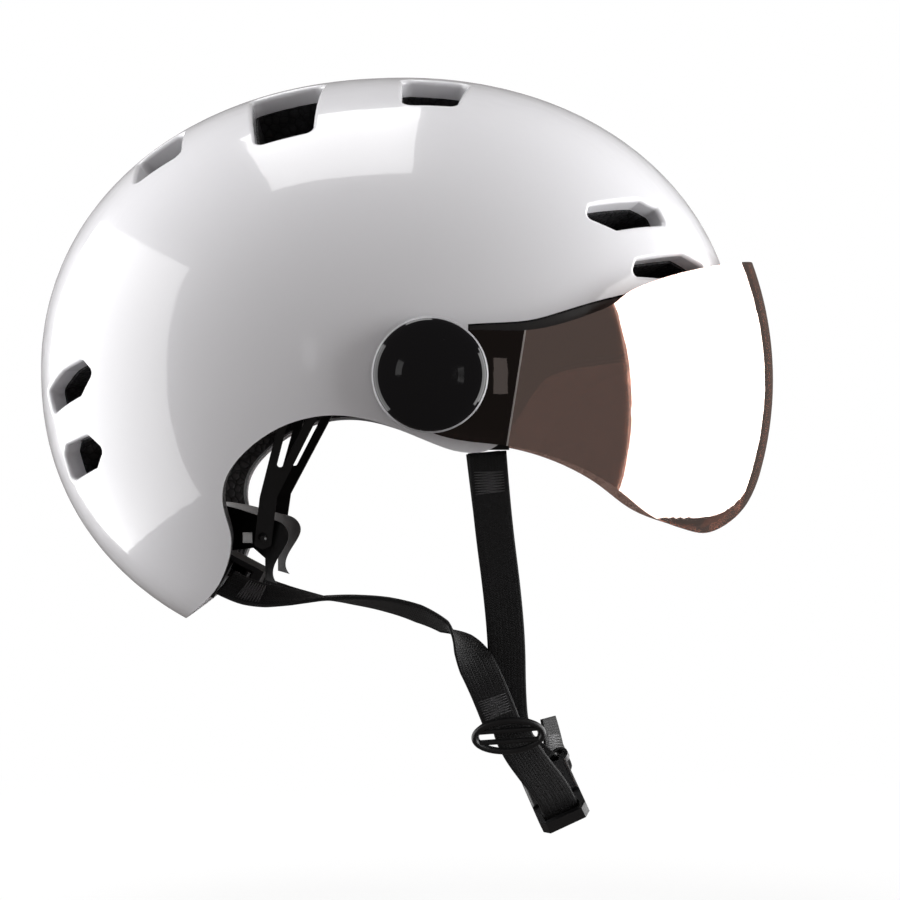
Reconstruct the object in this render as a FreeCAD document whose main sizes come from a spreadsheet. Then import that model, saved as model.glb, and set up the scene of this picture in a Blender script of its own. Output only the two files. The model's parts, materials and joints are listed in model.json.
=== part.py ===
import FreeCAD, Part

import math
import os

import Sketcher

# A cycling helmet with a pivoting visor, in millimetres.
# +X is the front, +Y the wearer's left, +Z up.
# The origin is the middle of the head cavity, level with the visor's pivots.

V = FreeCAD.Vector
X_AXIS = V(1, 0, 0)
Y_AXIS = V(0, 1, 0)
Z_AXIS = V(0, 0, 1)
SIDES = {"right": -1, "left": 1}

doc = FreeCAD.newDocument("cycling_helmet")
sheet = doc.addObject("Spreadsheet::Sheet", "sizes")
nodes = []

SIZES = [
    ("shell_half_length", 143.1, "shell, centre to front or back"),
    ("shell_half_width", 106.5, "shell, centre to side"),
    ("shell_half_height", 120.0, "shell, centre to top"),
    ("shell_centre_x", 1.6, "shell centre, forward of the origin"),
    ("shell_centre_z", 3.8, "shell centre, above the origin"),
    ("shell_tilt", 2.7, "nose-up tilt of the shell, degrees"),
    ("roundness", 2.128, "exponent of the shell's outline, where 2 is an ellipse"),
    ("shell_wall", 2.6, "white shell's wall"),
    ("lip_depth", 7.0, "how far a vent's lip turns into the helmet"),
    ("lip_wall", 1.8, "wall of a vent's lip"),
    ("bond_gap", 0.3, "glue line between shell and liner"),
    ("liner_front", 28.0, "foam at front and back"),
    ("liner_top", 30.0, "foam over the crown"),
    ("liner_side", 24.0, "foam at the sides"),
    ("cavity_depth", 135.0, "half height of the cavity's lower part, which tapers slowly"),
    ("brow_outset", 0.9, "brow shell's face below the white shell's face"),
    ("brow_wall", 1.4, "brow shell's wall"),
    ("pivot_x", 18.5, "visor pivots, forward of the origin"),
    ("lens_radius", 140.0, "lens, pivot to the middle of its front"),
    ("lens_half_width", 111.2, "lens, middle to its side at the pivots"),
    ("lens_roundness", 2.15, "exponent of the lens's cross-section"),
    ("lens_wall", 2.2, "lens wall"),
    ("ear_radius", 20.0, "round ear of the lens at a pivot"),
    ("post_radius", 8.0, "pivot post that the ear turns on"),
    ("running_gap", 0.05, "radial clearance of a turning fit"),
    ("cap_radius", 21.5, "pivot cap"),
    ("cap_height", 6.4, "pivot cap's dome"),
    ("cap_wall", 1.6, "pivot cap's wall"),
    ("nut_radius", 6.0, "threaded insert in the foam"),
    ("screw_radius", 2.0, "pivot screw's shank"),
    ("anchor_length", 8.0, "strap anchor, along the strap"),
    ("anchor_width", 17.0, "strap anchor, across the strap"),
    ("anchor_depth", 5.0, "strap anchor, through the foam"),
    ("webbing_width", 15.0, "chin strap webbing"),
    ("webbing_thickness", 1.4, "chin strap webbing"),
    ("dial_radius", 16.0, "fit dial"),
    ("dial_thickness", 6.0, "fit dial"),
    ("shaft_radius", 3.0, "fit dial's shaft"),
    ("rack_thickness", 3.0, "toothed bands of the fit dial"),
    ("tooth_pitch", math.pi, "toothed bands, tooth to tooth"),
    ("yoke_thickness", 1.6, "yokes that hang the cradle"),
    ("cradle_wall", 2.0, "cradle's wall"),
    ("pin_radius", 1.6, "plastic pins of the fit system"),
    ("buckle_width", 21.0, "buckle"),
    ("buckle_thickness", 9.0, "buckle's housing"),
    ("plug_thickness", 6.0, "buckle's plug"),
]
for row, (alias, value, meaning) in enumerate(SIZES, start=1):
    sheet.set(f"A{row}", meaning)
    sheet.set(f"B{row}", str(value))
    sheet.setAlias(f"B{row}", alias)
doc.recompute()


def size(alias):
    return float(sheet.get(alias))


# ---------------------------------------------------------------- helpers


def outward(solid):
    """The solid with its faces turned outwards."""
    if solid.Volume < 0:
        solid.reverse()
    return solid


def node(thing, label):
    """Marks a document object as a finished sub-part under its own name."""
    thing.Label = label
    nodes.append(thing)
    return thing


def shape_node(label, shape):
    """A sub-part whose shape is worked out by formula."""
    feature = doc.addObject("Part::Feature", label)
    feature.Shape = shape
    return node(feature, label)


def new_body(label, placement):
    body = doc.addObject("PartDesign::Body", label)
    body.Placement = placement
    return node(body, label)


def new_sketch(body, plane, name):
    sketch = body.newObject("Sketcher::SketchObject", name)
    role = next(f for f in body.Origin.OriginFeatures if f.Role == plane)
    sketch.AttachmentSupport = [(role, "")]
    sketch.MapMode = "FlatFace"
    return sketch


def draw_polygon(sketch, points):
    corners = [V(x, y, 0) for x, y in points]
    for start, end in zip(corners, corners[1:] + corners[:1]):
        sketch.addGeometry(Part.LineSegment(start, end), False)


def draw_circle(sketch, x, y, radius):
    """A circle whose radius is a number or a spreadsheet expression."""
    bound = isinstance(radius, str)
    circle = sketch.addGeometry(Part.Circle(V(x, y, 0), Z_AXIS, 1.0 if bound else radius), False)
    if bound:
        row = sketch.addConstraint(Sketcher.Constraint("Radius", circle, 1.0))
        sketch.setExpression(f"Constraints[{row}]", radius)


def box_points(half_x, low_y, high_y):
    return [(-half_x, low_y), (half_x, low_y), (half_x, high_y), (-half_x, high_y)]


def pad(body, sketch, length, both_ways=False, backwards=False):
    """Pads a sketch. length is a number or a spreadsheet expression."""
    feature = body.newObject("PartDesign::Pad", sketch.Name + "_pad")
    feature.Profile = sketch
    if isinstance(length, str):
        feature.setExpression("Length", length)
    else:
        feature.Length = length
    feature.Midplane = both_ways
    feature.Reversed = backwards
    return feature


def pocket(body, sketch, both_ways=True, backwards=False):
    """Cuts a sketch right through the body."""
    feature = body.newObject("PartDesign::Pocket", sketch.Name + "_pocket")
    feature.Profile = sketch
    feature.Type = "ThroughAll"
    feature.Midplane = both_ways
    feature.Reversed = backwards
    return feature


def turned_body(label, placement, points):
    """A body turned about its own Z axis from a section given as (radius, height)."""
    body = new_body(label, placement)
    sketch = new_sketch(body, "XZ_Plane", label + "_section")
    draw_polygon(sketch, points)
    feature = body.newObject("PartDesign::Revolution", label + "_turn")
    feature.Profile = sketch
    feature.ReferenceAxis = (sketch, ["V_Axis"])
    feature.Angle = 360
    return body


def side_placement(x, reach, z, side):
    """On a side of the helmet: local Z points outwards, reach is the distance from the middle plane."""
    sign = SIDES[side]
    outward = V(0, sign, 0)
    return FreeCAD.Placement(V(x, sign * reach, z), FreeCAD.Rotation(Z_AXIS, outward))


def cross_cylinder(x, z, radius, low, high, side):
    """A cylinder across the helmet, from low to high away from the middle plane."""
    sign = SIDES[side]
    return Part.makeCylinder(radius, high - low, V(x, sign * low, z), V(0, sign, 0))


def spline(points):
    curve = Part.BSplineCurve()
    curve.interpolate([V(x, 0, z) for x, z in points])
    return curve.toShape()


def side_prism(*strokes):
    """An outline in side view, run across the whole width. Strokes of over 2 points are smooth curves."""
    edges = []
    for stroke, following in zip(strokes, strokes[1:] + strokes[:1]):
        if len(stroke) > 2:
            edges.append(spline(stroke))
        elif len(stroke) == 2:
            edges.append(Part.makeLine(V(stroke[0][0], 0, stroke[0][1]), V(stroke[1][0], 0, stroke[1][1])))
        start = V(stroke[-1][0], 0, stroke[-1][1])
        end = V(following[0][0], 0, following[0][1])
        if start.distanceToPoint(end) > 1e-6:
            edges.append(Part.makeLine(start, end))
    face = Part.Face(Part.Wire(edges))
    face.translate(V(0, -ACROSS, 0))
    return face.extrude(V(0, 2 * ACROSS, 0))


ACROSS = 150.0
FAR = 230.0

# ---------------------------------------------------------------- the shell's form

CENTRE = V(size("shell_centre_x"), 0, size("shell_centre_z"))
TILT = FreeCAD.Rotation(Y_AXIS, -size("shell_tilt"))
ROUNDNESS = size("roundness")
HALVES = (size("shell_half_length"), size("shell_half_width"), size("shell_half_height"))
LINER_INSET = (
    size("shell_wall") + size("bond_gap") + size("liner_front"),
    size("shell_wall") + size("bond_gap") + size("liner_side"),
    size("shell_wall") + size("bond_gap") + size("liner_top"),
)
# The form's two halves meet on a line that passes between the rear vents.
SEAM_TURN = 6.7
AROUND_STEPS = 48
ACROSS_STEPS = 24


def egg(inset=(0, 0, 0), depth=None):
    """The helmet's rounded form, inset on each axis. depth is the half height below its middle."""
    length, width, height = (half - cut for half, cut in zip(HALVES, inset))
    rows = []
    for i in range(AROUND_STEPS + 1):
        around = math.radians(SEAM_TURN + 360 * (i % AROUND_STEPS) / AROUND_STEPS)
        row = []
        for j in range(ACROSS_STEPS + 1):
            across = math.radians(-90 + 180 * j / ACROSS_STEPS)
            flat = math.cos(across)
            ray = V(flat * math.cos(around), math.sin(across), flat * math.sin(around))
            if j in (0, ACROSS_STEPS):
                ray = V(0, math.copysign(1, across), 0)
            below = depth is not None and ray.z < 0
            total = abs(ray.x / length) ** ROUNDNESS + abs(ray.y / width) ** ROUNDNESS
            total += abs(ray.z / (depth if below else height)) ** ROUNDNESS
            row.append(CENTRE + TILT.multVec(ray * total ** (-1 / ROUNDNESS)))
        rows.append(row)
    surface = Part.BSplineSurface()
    surface.interpolate(rows)
    start, end, low, high = surface.bounds()
    middle = (start + end) / 2
    spans = ((start, middle), (middle, end))
    halves = Part.makeShell([surface.toShape(a, b, low, high) for a, b in spans])
    halves.sewShape()
    return outward(Part.Solid(halves))


def evenly(inset):
    return (inset, inset, inset)


def egg_value(point):
    """Under 1 inside the shell's outer face, 1 on it, over 1 outside."""
    local = TILT.inverted().multVec(point - CENTRE)
    return sum(abs(c / half) ** ROUNDNESS for c, half in zip(local, HALVES))


def on_shell(x, y=None, z=None):
    """The right-hand point of the shell's face at (x, z), or the upper one at (x, y)."""
    low, high = 0.0, 160.0
    for _ in range(40):
        middle = (low + high) / 2
        trial = V(x, -middle, z) if y is None else V(x, y, middle)
        if egg_value(trial) > 1:
            high = middle
        else:
            low = middle
    return V(x, -low, z) if y is None else V(x, y, low)


def shell_normal(point):
    local = TILT.inverted().multVec(point - CENTRE)
    slope = [math.copysign(abs(c) ** (ROUNDNESS - 1) / half**ROUNDNESS, c) for c, half in zip(local, HALVES)]
    return TILT.multVec(V(*slope)).normalize()


# ---------------------------------------------------------------- vents

# Each vent is an outline on the right side: (x, z) seen from the side, or (x, y) seen from above.
SIDE_VENTS = [
    ([(79.8, 62.4), (81.0, 67.1), (101.4, 70.2), (108.4, 67.1), (111.2, 60.8), (91.6, 57.7)], 2.2),
    ([(97.5, 39.5), (99.5, 45.5), (118.7, 48.8), (126.5, 45.0), (129.0, 41.0), (112.0, 39.0)], 2.0),
    ([(-135.5, -5.0), (-133.0, -14.0), (-120.2, -7.0), (-115.0, 2.0), (-119.4, 6.7), (-128.0, 2.7)], 2.2),
    (
        [(-128.2, -31.0), (-125.3, -41.3), (-114.0, -35.7)]
        + [(-111.0, -28.5), (-117.1, -23.3), (-127.0, -27.0)],
        2.2,
    ),
]
TOP_VENTS = [
    ([(-100.0, -43.5), (-81.5, -48.0), (-81.5, -21.0), (-100.0, -19.0)], 4.0),
    ([(-50.5, -66.0), (-28.0, -67.0), (-24.5, -24.0), (-54.0, -23.0)], 4.0),
    ([(7.2, -56.0), (28.5, -54.5), (34.0, -27.0), (7.0, -27.0)], 4.0),
]


def rounded_wire(corners, radius):
    """A closed flat outline with each corner turned by an arc."""
    edges = []
    last_end = None
    first_start = None
    count = len(corners)
    for i, corner in enumerate(corners):
        back = (corners[i - 1] - corner).normalize()
        ahead = (corners[(i + 1) % count] - corner).normalize()
        half = back.getAngle(ahead) / 2
        neighbours = (corners[i - 1], corners[(i + 1) % count])
        shortest = min(corner.distanceToPoint(near) for near in neighbours)
        reach = min(radius / math.tan(half), 0.45 * shortest)
        bisector = (back + ahead).normalize()
        turn_radius = reach * math.tan(half)
        middle = corner + bisector * (reach / math.cos(half) - turn_radius)
        start = corner + back * reach
        end = corner + ahead * reach
        if last_end is not None:
            edges.append(Part.makeLine(last_end, start))
        else:
            first_start = start
        edges.append(Part.Arc(start, middle, end).toShape())
        last_end = end
    edges.append(Part.makeLine(last_end, first_start))
    return Part.Wire(edges)


def vent_points():
    """Every vent's corners on the shell's face, with its corner radius, on both sides."""
    for outline, radius in SIDE_VENTS:
        right = [on_shell(x, z=z) for x, z in outline]
        yield right, radius
        yield [V(p.x, -p.y, p.z) for p in right], radius
    for outline, radius in TOP_VENTS:
        right = [on_shell(x, y=y) for x, y in outline]
        yield right, radius
        yield [V(p.x, -p.y, p.z) for p in right], radius


def vent_prism(corners, radius, grow, inward, outward=12.0):
    """A vent's outline run square to the shell through its wall."""
    centre = sum(corners, V(0, 0, 0)) * (1 / len(corners))
    normal = shell_normal(centre)
    flat = [p - normal * (p - centre).dot(normal) for p in corners]
    wire = rounded_wire(flat, radius)
    if grow:
        wire = wire.makeOffset2D(grow)
    face = Part.Face(wire)
    face.translate(normal * outward)
    return face.extrude(normal * -(inward + outward))


# ---------------------------------------------------------------- side outlines

# The rim: nape, ear arch and the lobe in front of the ear, from the back to the front.
RIM = [
    (-100.0, -117.0),
    (-76.8, -93.5),
    (-66.7, -84.0),
    (-60.0, -70.0),
    (-59.1, -62.0),
    (-61.8, -50.5),
    (-61.0, -41.0),
    (-52.8, -29.4),
    (-38.0, -19.5),
    (-16.0, -15.4),
    (7.0, -21.0),
    (20.0, -26.3),
    (31.8, -29.6),
    (41.0, -28.6),
    (46.5, -24.5),
]
# The white shell's front edge above the visor's arms, and the brow line below it.
FRONT_EDGE = [
    (33.0, 19.5), (47.1, 20.3), (57.0, 21.3), (68.4, 24.5), (82.0, 28.8), (97.0, 32.5),
    (120.0, 34.5), (160.0, 36.0),
]
BROW_LINE = [
    (46.5, -24.5), (52.3, -15.9), (58.0, -7.0), (64.3, 0.0), (73.0, 4.7), (89.4, 7.8),
    (112.0, 10.5), (160.0, 15.0),
]
NOTCH_BOTTOM = -21.0
LINER_SHIFT = (-0.4, 1.1)
EDGE_GAP = 0.6


def shifted(points, dx, dz):
    return [(x + dx, z + dz) for x, z in points]


# ---------------------------------------------------------------- outer shell


def make_outer_shell():
    skin = egg().cut(egg(evenly(size("shell_wall"))))
    notch = [(46.5, NOTCH_BOTTOM), (FRONT_EDGE[0][0], NOTCH_BOTTOM)]
    outline = side_prism(RIM, notch, FRONT_EDGE, [(FAR, 36.0), (FAR, FAR)], [(-FAR, FAR), (-FAR, -117.0)])
    skin = skin.common(outline)
    lip_band = egg(evenly(size("shell_wall") / 2)).cut(egg(evenly(size("lip_depth"))))
    lips = [vent_prism(c, r, size("lip_wall"), 14.0).common(lip_band) for c, r in vent_points()]
    skin = skin.fuse(lips)
    holes = [vent_prism(c, r, 0, 16.0) for c, r in vent_points()]
    screw_holes = [cross_cylinder(size("pivot_x"), 0, 3.2, 90, 120, side) for side in SIDES]
    skin = skin.cut(holes + screw_holes)
    return soften_vents(skin)


VENT_SOFTNESS = 1.6


def soften_vents(solid):
    """Rounds the vents' outer edges, one vent after the other."""
    for corners, _ in list(vent_points()):
        centre = sum(corners, V(0, 0, 0)) * (1 / len(corners))
        reach = max(p.distanceToPoint(centre) for p in corners) + 3
        mouth = []
        for edge in solid.Edges:
            if edge.Degenerated or edge.Length > 60:
                continue
            ends = [edge.valueAt(edge.FirstParameter), edge.valueAt(edge.LastParameter)]
            near = all(p.distanceToPoint(centre) < reach for p in ends)
            if near and all(abs(egg_value(p) - 1) < 0.004 for p in ends):
                mouth.append(edge)
        for radius in (VENT_SOFTNESS, VENT_SOFTNESS / 2):
            try:
                softened = solid.makeFillet(radius, mouth)
            except Part.OCCError:
                continue
            if softened.isValid() and len(softened.Solids) == 1:
                solid = softened.Solids[0]
                break
        else:
            print("a vent's edge stays sharp")
    return solid


# ---------------------------------------------------------------- foam liner and brow shell

ANCHOR_GAP = 0.2
FRONT_ANCHOR = dict(centre=V(40.5, -84.5, -24.6), along=V(0, 0, -1), wide=V(1, 0, 0))
REAR_ANCHOR = dict(centre=V(-68.0, -43.8, -79.0), along=V(0.9, -0.05, -0.43), wide=V(0.3, 0.707, 0.64))
HEADBAND_PIN = (30.0, 19.0)
YOKE_PIN = (-29.5, -5.9)
NUT = dict(low=88.0, high=97.0)


def anchor_placement(spec, side, sizes):
    """Centres a block of those sizes on the anchor: X along the strap, Y across it."""
    sign = -SIDES[side]
    along = V(spec["along"].x, spec["along"].y * sign, spec["along"].z).normalize()
    wide = V(spec["wide"].x, spec["wide"].y * sign, spec["wide"].z)
    wide = (wide - along * wide.dot(along)).normalize()
    centre = V(spec["centre"].x, spec["centre"].y * sign, spec["centre"].z)
    turned = FreeCAD.Placement(centre, FreeCAD.Rotation(along, wide, V(0, 0, 0), "XYZ"))
    corner = V(*sizes) * -0.5
    return turned.multiply(FreeCAD.Placement(corner, FreeCAD.Rotation()))


def anchor_sizes():
    return [size("anchor_length"), size("anchor_width"), size("anchor_depth")]


def make_anchor(label, spec, side):
    block = doc.addObject("Part::Box", f"{label}_{side}")
    for measure, alias in zip(("Length", "Width", "Height"), ("length", "width", "depth")):
        block.setExpression(measure, "sizes.anchor_" + alias)
    block.Placement = anchor_placement(spec, side, anchor_sizes())
    node(block, f"{label}_{side}")


def anchor_pocket(spec, side):
    sizes = [length + 2 * ANCHOR_GAP for length in anchor_sizes()]
    block = Part.makeBox(*sizes)
    block.Placement = anchor_placement(spec, side, sizes)
    return block


def make_foam_liner():
    inset = size("shell_wall") + size("bond_gap")
    foam = egg(evenly(inset)).cut(egg(LINER_INSET, depth=size("cavity_depth")))
    lower = shifted(RIM, *LINER_SHIFT)
    brow = shifted(BROW_LINE, *LINER_SHIFT)[1:]
    outline = side_prism(lower + brow, [(FAR, 16.0), (FAR, FAR)], [(-FAR, FAR), (-FAR, -117.0)])
    foam = foam.common(outline)
    lip_band = egg(evenly(-3.0)).cut(egg(evenly(size("lip_depth") + 0.4)))
    cuts = [vent_prism(c, r, size("lip_wall") + 0.3, 14.0).common(lip_band) for c, r in vent_points()]
    cuts += [vent_prism(c, r, -0.8, 45.0) for c, r in vent_points()]
    for side in SIDES:
        cuts.append(anchor_pocket(FRONT_ANCHOR, side))
        cuts.append(anchor_pocket(REAR_ANCHOR, side))
        nut_hole = size("nut_radius") + 0.15
        cuts.append(cross_cylinder(size("pivot_x"), 0, nut_hole, NUT["low"] - 0.2, 115, side))
        cuts.append(cross_cylinder(*HEADBAND_PIN, size("pin_radius") + 0.05, 60, 84.2, side))
        cuts.append(cross_cylinder(*YOKE_PIN, size("pin_radius") + 0.05, 60, 84.2, side))
    return foam.cut(cuts)


def make_brow_shell():
    outer = size("brow_outset")
    band = egg(evenly(outer)).cut(egg(evenly(outer + size("brow_wall"))))
    top = shifted(FRONT_EDGE, EDGE_GAP, -EDGE_GAP)
    bottom = list(reversed(shifted(BROW_LINE, 0.4, 0.4)))
    floor = [(46.5, NOTCH_BOTTOM + EDGE_GAP), (FRONT_EDGE[0][0] + EDGE_GAP, NOTCH_BOTTOM + EDGE_GAP)]
    return band.common(side_prism(top, bottom, floor))


# ---------------------------------------------------------------- visor lens

LENS_TOP = [
    (12.0, 12.0), (24.0, 16.0), (40.2, 17.0), (56.5, 17.2), (68.0, 19.5), (82.5, 24.5),
    (89.0, 27.6), (94.0, 31.6),
]
LENS_TOP += [(100.0, 34.8), (125.4, 42.9), (147.5, 47.5), (170.0, 51.0)]
LENS_BOTTOM = [(170.0, 10.0), (160.0, -14.0), (151.6, -40.9), (145.4, -51.2), (136.0, -58.6), (126.5, -61.5)]
LENS_BOTTOM += [
    (119.0, -60.0), (104.2, -54.0), (92.0, -44.6), (80.0, -37.2), (67.9, -32.0), (47.1, -26.9),
    (28.4, -24.6),
]
LENS_BOTTOM += [(16.0, -20.5), (8.0, -14.0)]


def lens_form(inset):
    """The lens turned about the pivots' axis, as a full closed form."""
    radius = size("lens_radius") - inset
    width = size("lens_half_width") - inset
    power = size("lens_roundness")
    points = []
    steps = 28
    for i in range(steps + 1):
        angle = math.radians(-90 + 180 * i / steps)
        total = abs(math.cos(angle) / radius) ** power + abs(math.sin(angle) / width) ** power
        reach = total ** (-1 / power)
        points.append(V(max(0.0, reach * math.cos(angle)), reach * math.sin(angle), 0))
    points[0] = V(0, -width, 0)
    points[-1] = V(0, width, 0)
    curve = Part.BSplineCurve()
    curve.interpolate(points)
    face = Part.Face(Part.Wire([curve.toShape(), Part.makeLine(points[-1], points[0])]))
    face.translate(V(size("pivot_x"), 0, 0))
    return outward(face.revolve(V(size("pivot_x"), 0, 0), Y_AXIS, 360))


def make_visor_lens():
    full = lens_form(0).cut(lens_form(size("lens_wall")))
    outline = side_prism(LENS_TOP, LENS_BOTTOM)
    ears = Part.makeCylinder(size("ear_radius"), 2 * ACROSS, V(size("pivot_x"), -ACROSS, 0), Y_AXIS)
    bore = Part.makeCylinder(
        size("post_radius") + size("running_gap"), 2 * ACROSS, V(size("pivot_x"), -ACROSS, 0), Y_AXIS
    )
    return full.common(outline.fuse(ears)).cut(bore)


# ---------------------------------------------------------------- visor pivots

FLANGE_TOP = 108.4
POST_TOP = 114.0
CAP_BASE = 112.1
HEAD_BASE = 114.1
RING_BASE = 110.5


def make_pivot_base(side):
    """A flange shaped to the shell, with the post that the lens's ear turns on."""
    flange = cross_cylinder(size("pivot_x"), 0, 13.0, 103.0, FLANGE_TOP, side)
    flange = flange.cut(egg(evenly(-0.1)))
    post = cross_cylinder(size("pivot_x"), 0, size("post_radius"), FLANGE_TOP - 1, POST_TOP, side)
    bore = cross_cylinder(size("pivot_x"), 0, size("screw_radius") + 0.15, 95.0, 120.0, side)
    shape_node(f"pivot_base_{side}", flange.fuse(post).cut(bore))


def make_pivot_nut(side):
    body = new_body(f"pivot_nut_{side}", side_placement(size("pivot_x"), NUT["low"], 0, side))
    sketch = new_sketch(body, "XY_Plane", f"nut_plan_{side}")
    draw_circle(sketch, 0, 0, "sizes.nut_radius")
    draw_circle(sketch, 0, 0, "sizes.screw_radius + 0.05")
    pad(body, sketch, NUT["high"] - NUT["low"])


def make_pivot_screw(side):
    shank = -25.0
    radius = size("screw_radius")
    head = [(0, shank), (radius, shank), (radius, 0), (4.4, 0), (4.4, 1.2), (3.4, 1.9), (0, 1.9)]
    turned_body(f"pivot_screw_{side}", side_placement(size("pivot_x"), HEAD_BASE, 0, side), head)


def make_pivot_washer(side):
    body = new_body(f"pivot_washer_{side}", side_placement(size("pivot_x"), 111.3, 0, side))
    sketch = new_sketch(body, "XY_Plane", f"washer_plan_{side}")
    draw_circle(sketch, 0, 0, "sizes.post_radius + 4.5")
    draw_circle(sketch, 0, 0, "sizes.post_radius + 0.1")
    pad(body, sketch, 0.6)


def make_pivot_ring(side):
    """The bright trim ring on the lens round the cap."""
    section = [(20.4, 0), (22.2, -0.05), (22.2, 0.9), (21.6, 1.4), (20.4, 1.4)]
    turned_body(f"pivot_ring_{side}", side_placement(size("pivot_x"), RING_BASE, 0, side), section)


def make_pivot_cap(side):
    """A hollow dome with a socket that snaps on the post."""
    radius = size("cap_radius")
    height = size("cap_height")
    wall = size("cap_wall")
    rim = 1.5

    def dome(cut):
        points = []
        for i in range(13):
            angle = math.radians(90 * i / 12)
            points.append(((radius - cut) * math.cos(angle), rim + (height - cut - rim) * math.sin(angle)))
        return points

    socket = size("post_radius") + 0.05
    inside = [p for p in reversed(dome(wall)) if p[0] > socket + 2.0]
    centre = [p for p in reversed(dome(wall)) if p[0] < socket]
    section = [(0, height)]
    section += [p for p in reversed(dome(0)) if 0.01 < p[0]]
    section += [(radius, 0), (radius - wall, 0)]
    section += list(reversed(inside))
    section += [(socket + 1.8, 4.0), (socket + 1.8, 0.2), (socket, 0.2), (socket, 4.2)]
    section += [(max(0.0, x), y) for x, y in reversed(centre)]
    turned_body(f"pivot_cap_{side}", side_placement(size("pivot_x"), CAP_BASE, 0, side), tidy(section))


def tidy(points):
    """Drops a point that repeats the one before it."""
    kept = []
    for x, y in points:
        if not kept or math.hypot(x - kept[-1][0], y - kept[-1][1]) > 0.02:
            kept.append((x, y))
    return kept


# ---------------------------------------------------------------- rear fit system

DIAL_CENTRE = V(-67.0, 0, -81.5)
DIAL_LEAN = 28.0
DIAL_AXIS = V(-math.sin(math.radians(DIAL_LEAN)), 0, -math.cos(math.radians(DIAL_LEAN)))
DIAL_ACROSS = V(-math.cos(math.radians(DIAL_LEAN)), 0, math.sin(math.radians(DIAL_LEAN)))
DIAL_PLACE = FreeCAD.Placement(DIAL_CENTRE, FreeCAD.Rotation(DIAL_ACROSS, Y_AXIS, DIAL_AXIS, "XYZ"))
TEETH = 12
RACK_Z = -8.6
CRADLE_CENTRE_X = -20.0
CRADLE_LENGTH = 56.0
CRADLE_WIDTH = 58.0
CRADLE_PIN = (-48.0, -63.4)
CHANNEL_HALF = 10.0
HOUSING = dict(half_x=14.0, back_x=18.5, half_y=22.0, low=-11.4, high=-5.0)
COVER_THICKNESS = 1.8
COVER_SCREWS = [(x, y) for x in (-12, 12) for y in (-18, 18)]
DIAL_TOP = -2.6


def upright_oval(length, width, low, high):
    """A solid with an elliptical plan about the origin. length and width are half sizes along X and Y."""
    ends = [V(length, 0, low), V(0, width, low)]
    if width > length:
        ends.reverse()
    rim = Part.Ellipse(ends[0], ends[1], V(0, 0, low)).toShape()
    return Part.Face(Part.Wire(rim)).extrude(V(0, 0, high - low))


def ellipse_wall(length, width, wall, centre_x, low, high):
    """An upright elliptical wall about the middle plane, seamed well away from its front and back."""
    hollow = upright_oval(length - wall, width - wall, low - 1, high + 1)
    ring = upright_oval(length, width, low, high).cut(hollow)
    ring.translate(V(centre_x, 0, 0))
    return ring


def hole_across(x, z):
    """A hole for a pair of push pins, right across the helmet."""
    return Part.makeCylinder(size("pin_radius") + 0.1, 2 * ACROSS, V(x, -ACROSS, z), Y_AXIS)


def make_cradle():
    """The band behind the nape, with wings and the dial's housing in one moulding."""
    ring = ellipse_wall(CRADLE_LENGTH + 2, CRADLE_WIDTH + 2, size("cradle_wall"), CRADLE_CENTRE_X, -90, -40)
    top = [(-95.0, -50.0), (-57.0, -52.5), (-46.0, -55.7), (-40.0, -58.0)]
    top += [(-37.8, -61.5), (-40.3, -68.6), (-42.4, -81.5)]
    bottom = [(-47.2, -80.0), (-47.2, -71.5), (-52.0, -67.5), (-60.0, -68.5), (-95.0, -68.5)]
    band = ring.common(side_prism(top, bottom[:2], bottom[2:]))
    window = Part.makeBox(4.0, 2 * ACROSS, 4.2, V(-56.5, -ACROSS, -65.6))
    rivets = hole_across(*CRADLE_PIN)
    corner = V(-HOUSING["half_x"], -HOUSING["half_y"], HOUSING["low"])
    opposite = V(HOUSING["back_x"], HOUSING["half_y"], HOUSING["high"])
    block = Part.makeBox(*(opposite - corner), corner)
    channel = Part.makeBox(2 * CHANNEL_HALF, 2 * ACROSS, 10, V(-CHANNEL_HALF, -ACROSS, RACK_Z - 0.6))
    block = block.cut(channel)
    block.Placement = DIAL_PLACE
    screws = [Part.makeCylinder(0.9, 5.0, V(x, y, -9.0)) for x, y in COVER_SCREWS]
    for hole in screws:
        hole.Placement = DIAL_PLACE
    return band.cut([window, rivets]).fuse(block).cut(screws).removeSplitter()


def make_dial_cover():
    body = new_body("dial_cover", DIAL_PLACE)
    plan = new_sketch(body, "XY_Plane", "cover_plan")
    draw_polygon(plan, box_points(HOUSING["half_x"], -HOUSING["half_y"], HOUSING["half_y"]))
    plan.AttachmentOffset = FreeCAD.Placement(V(0, 0, HOUSING["high"] + 0.05), FreeCAD.Rotation())
    pad(body, plan, COVER_THICKNESS)
    holes = new_sketch(body, "XY_Plane", "cover_holes")
    draw_circle(holes, 0, 0, "sizes.shaft_radius + 0.06")
    for x, y in COVER_SCREWS:
        draw_circle(holes, x, y, 1.0)
    pocket(body, holes)


def make_dial_screws():
    """Four small self-tapping screws that hold the cover."""
    parts = []
    head_base = HOUSING["high"] + 0.05 + COVER_THICKNESS
    for x, y in COVER_SCREWS:
        shank = Part.makeCylinder(0.85, 4.8, V(x, y, head_base - 4.8))
        head = Part.makeCylinder(1.7, 0.5, V(x, y, head_base))
        parts.append(shank.fuse(head).removeSplitter())
    group = Part.makeCompound(parts)
    group.Placement = DIAL_PLACE
    shape_node("dial_screws", group)


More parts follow.
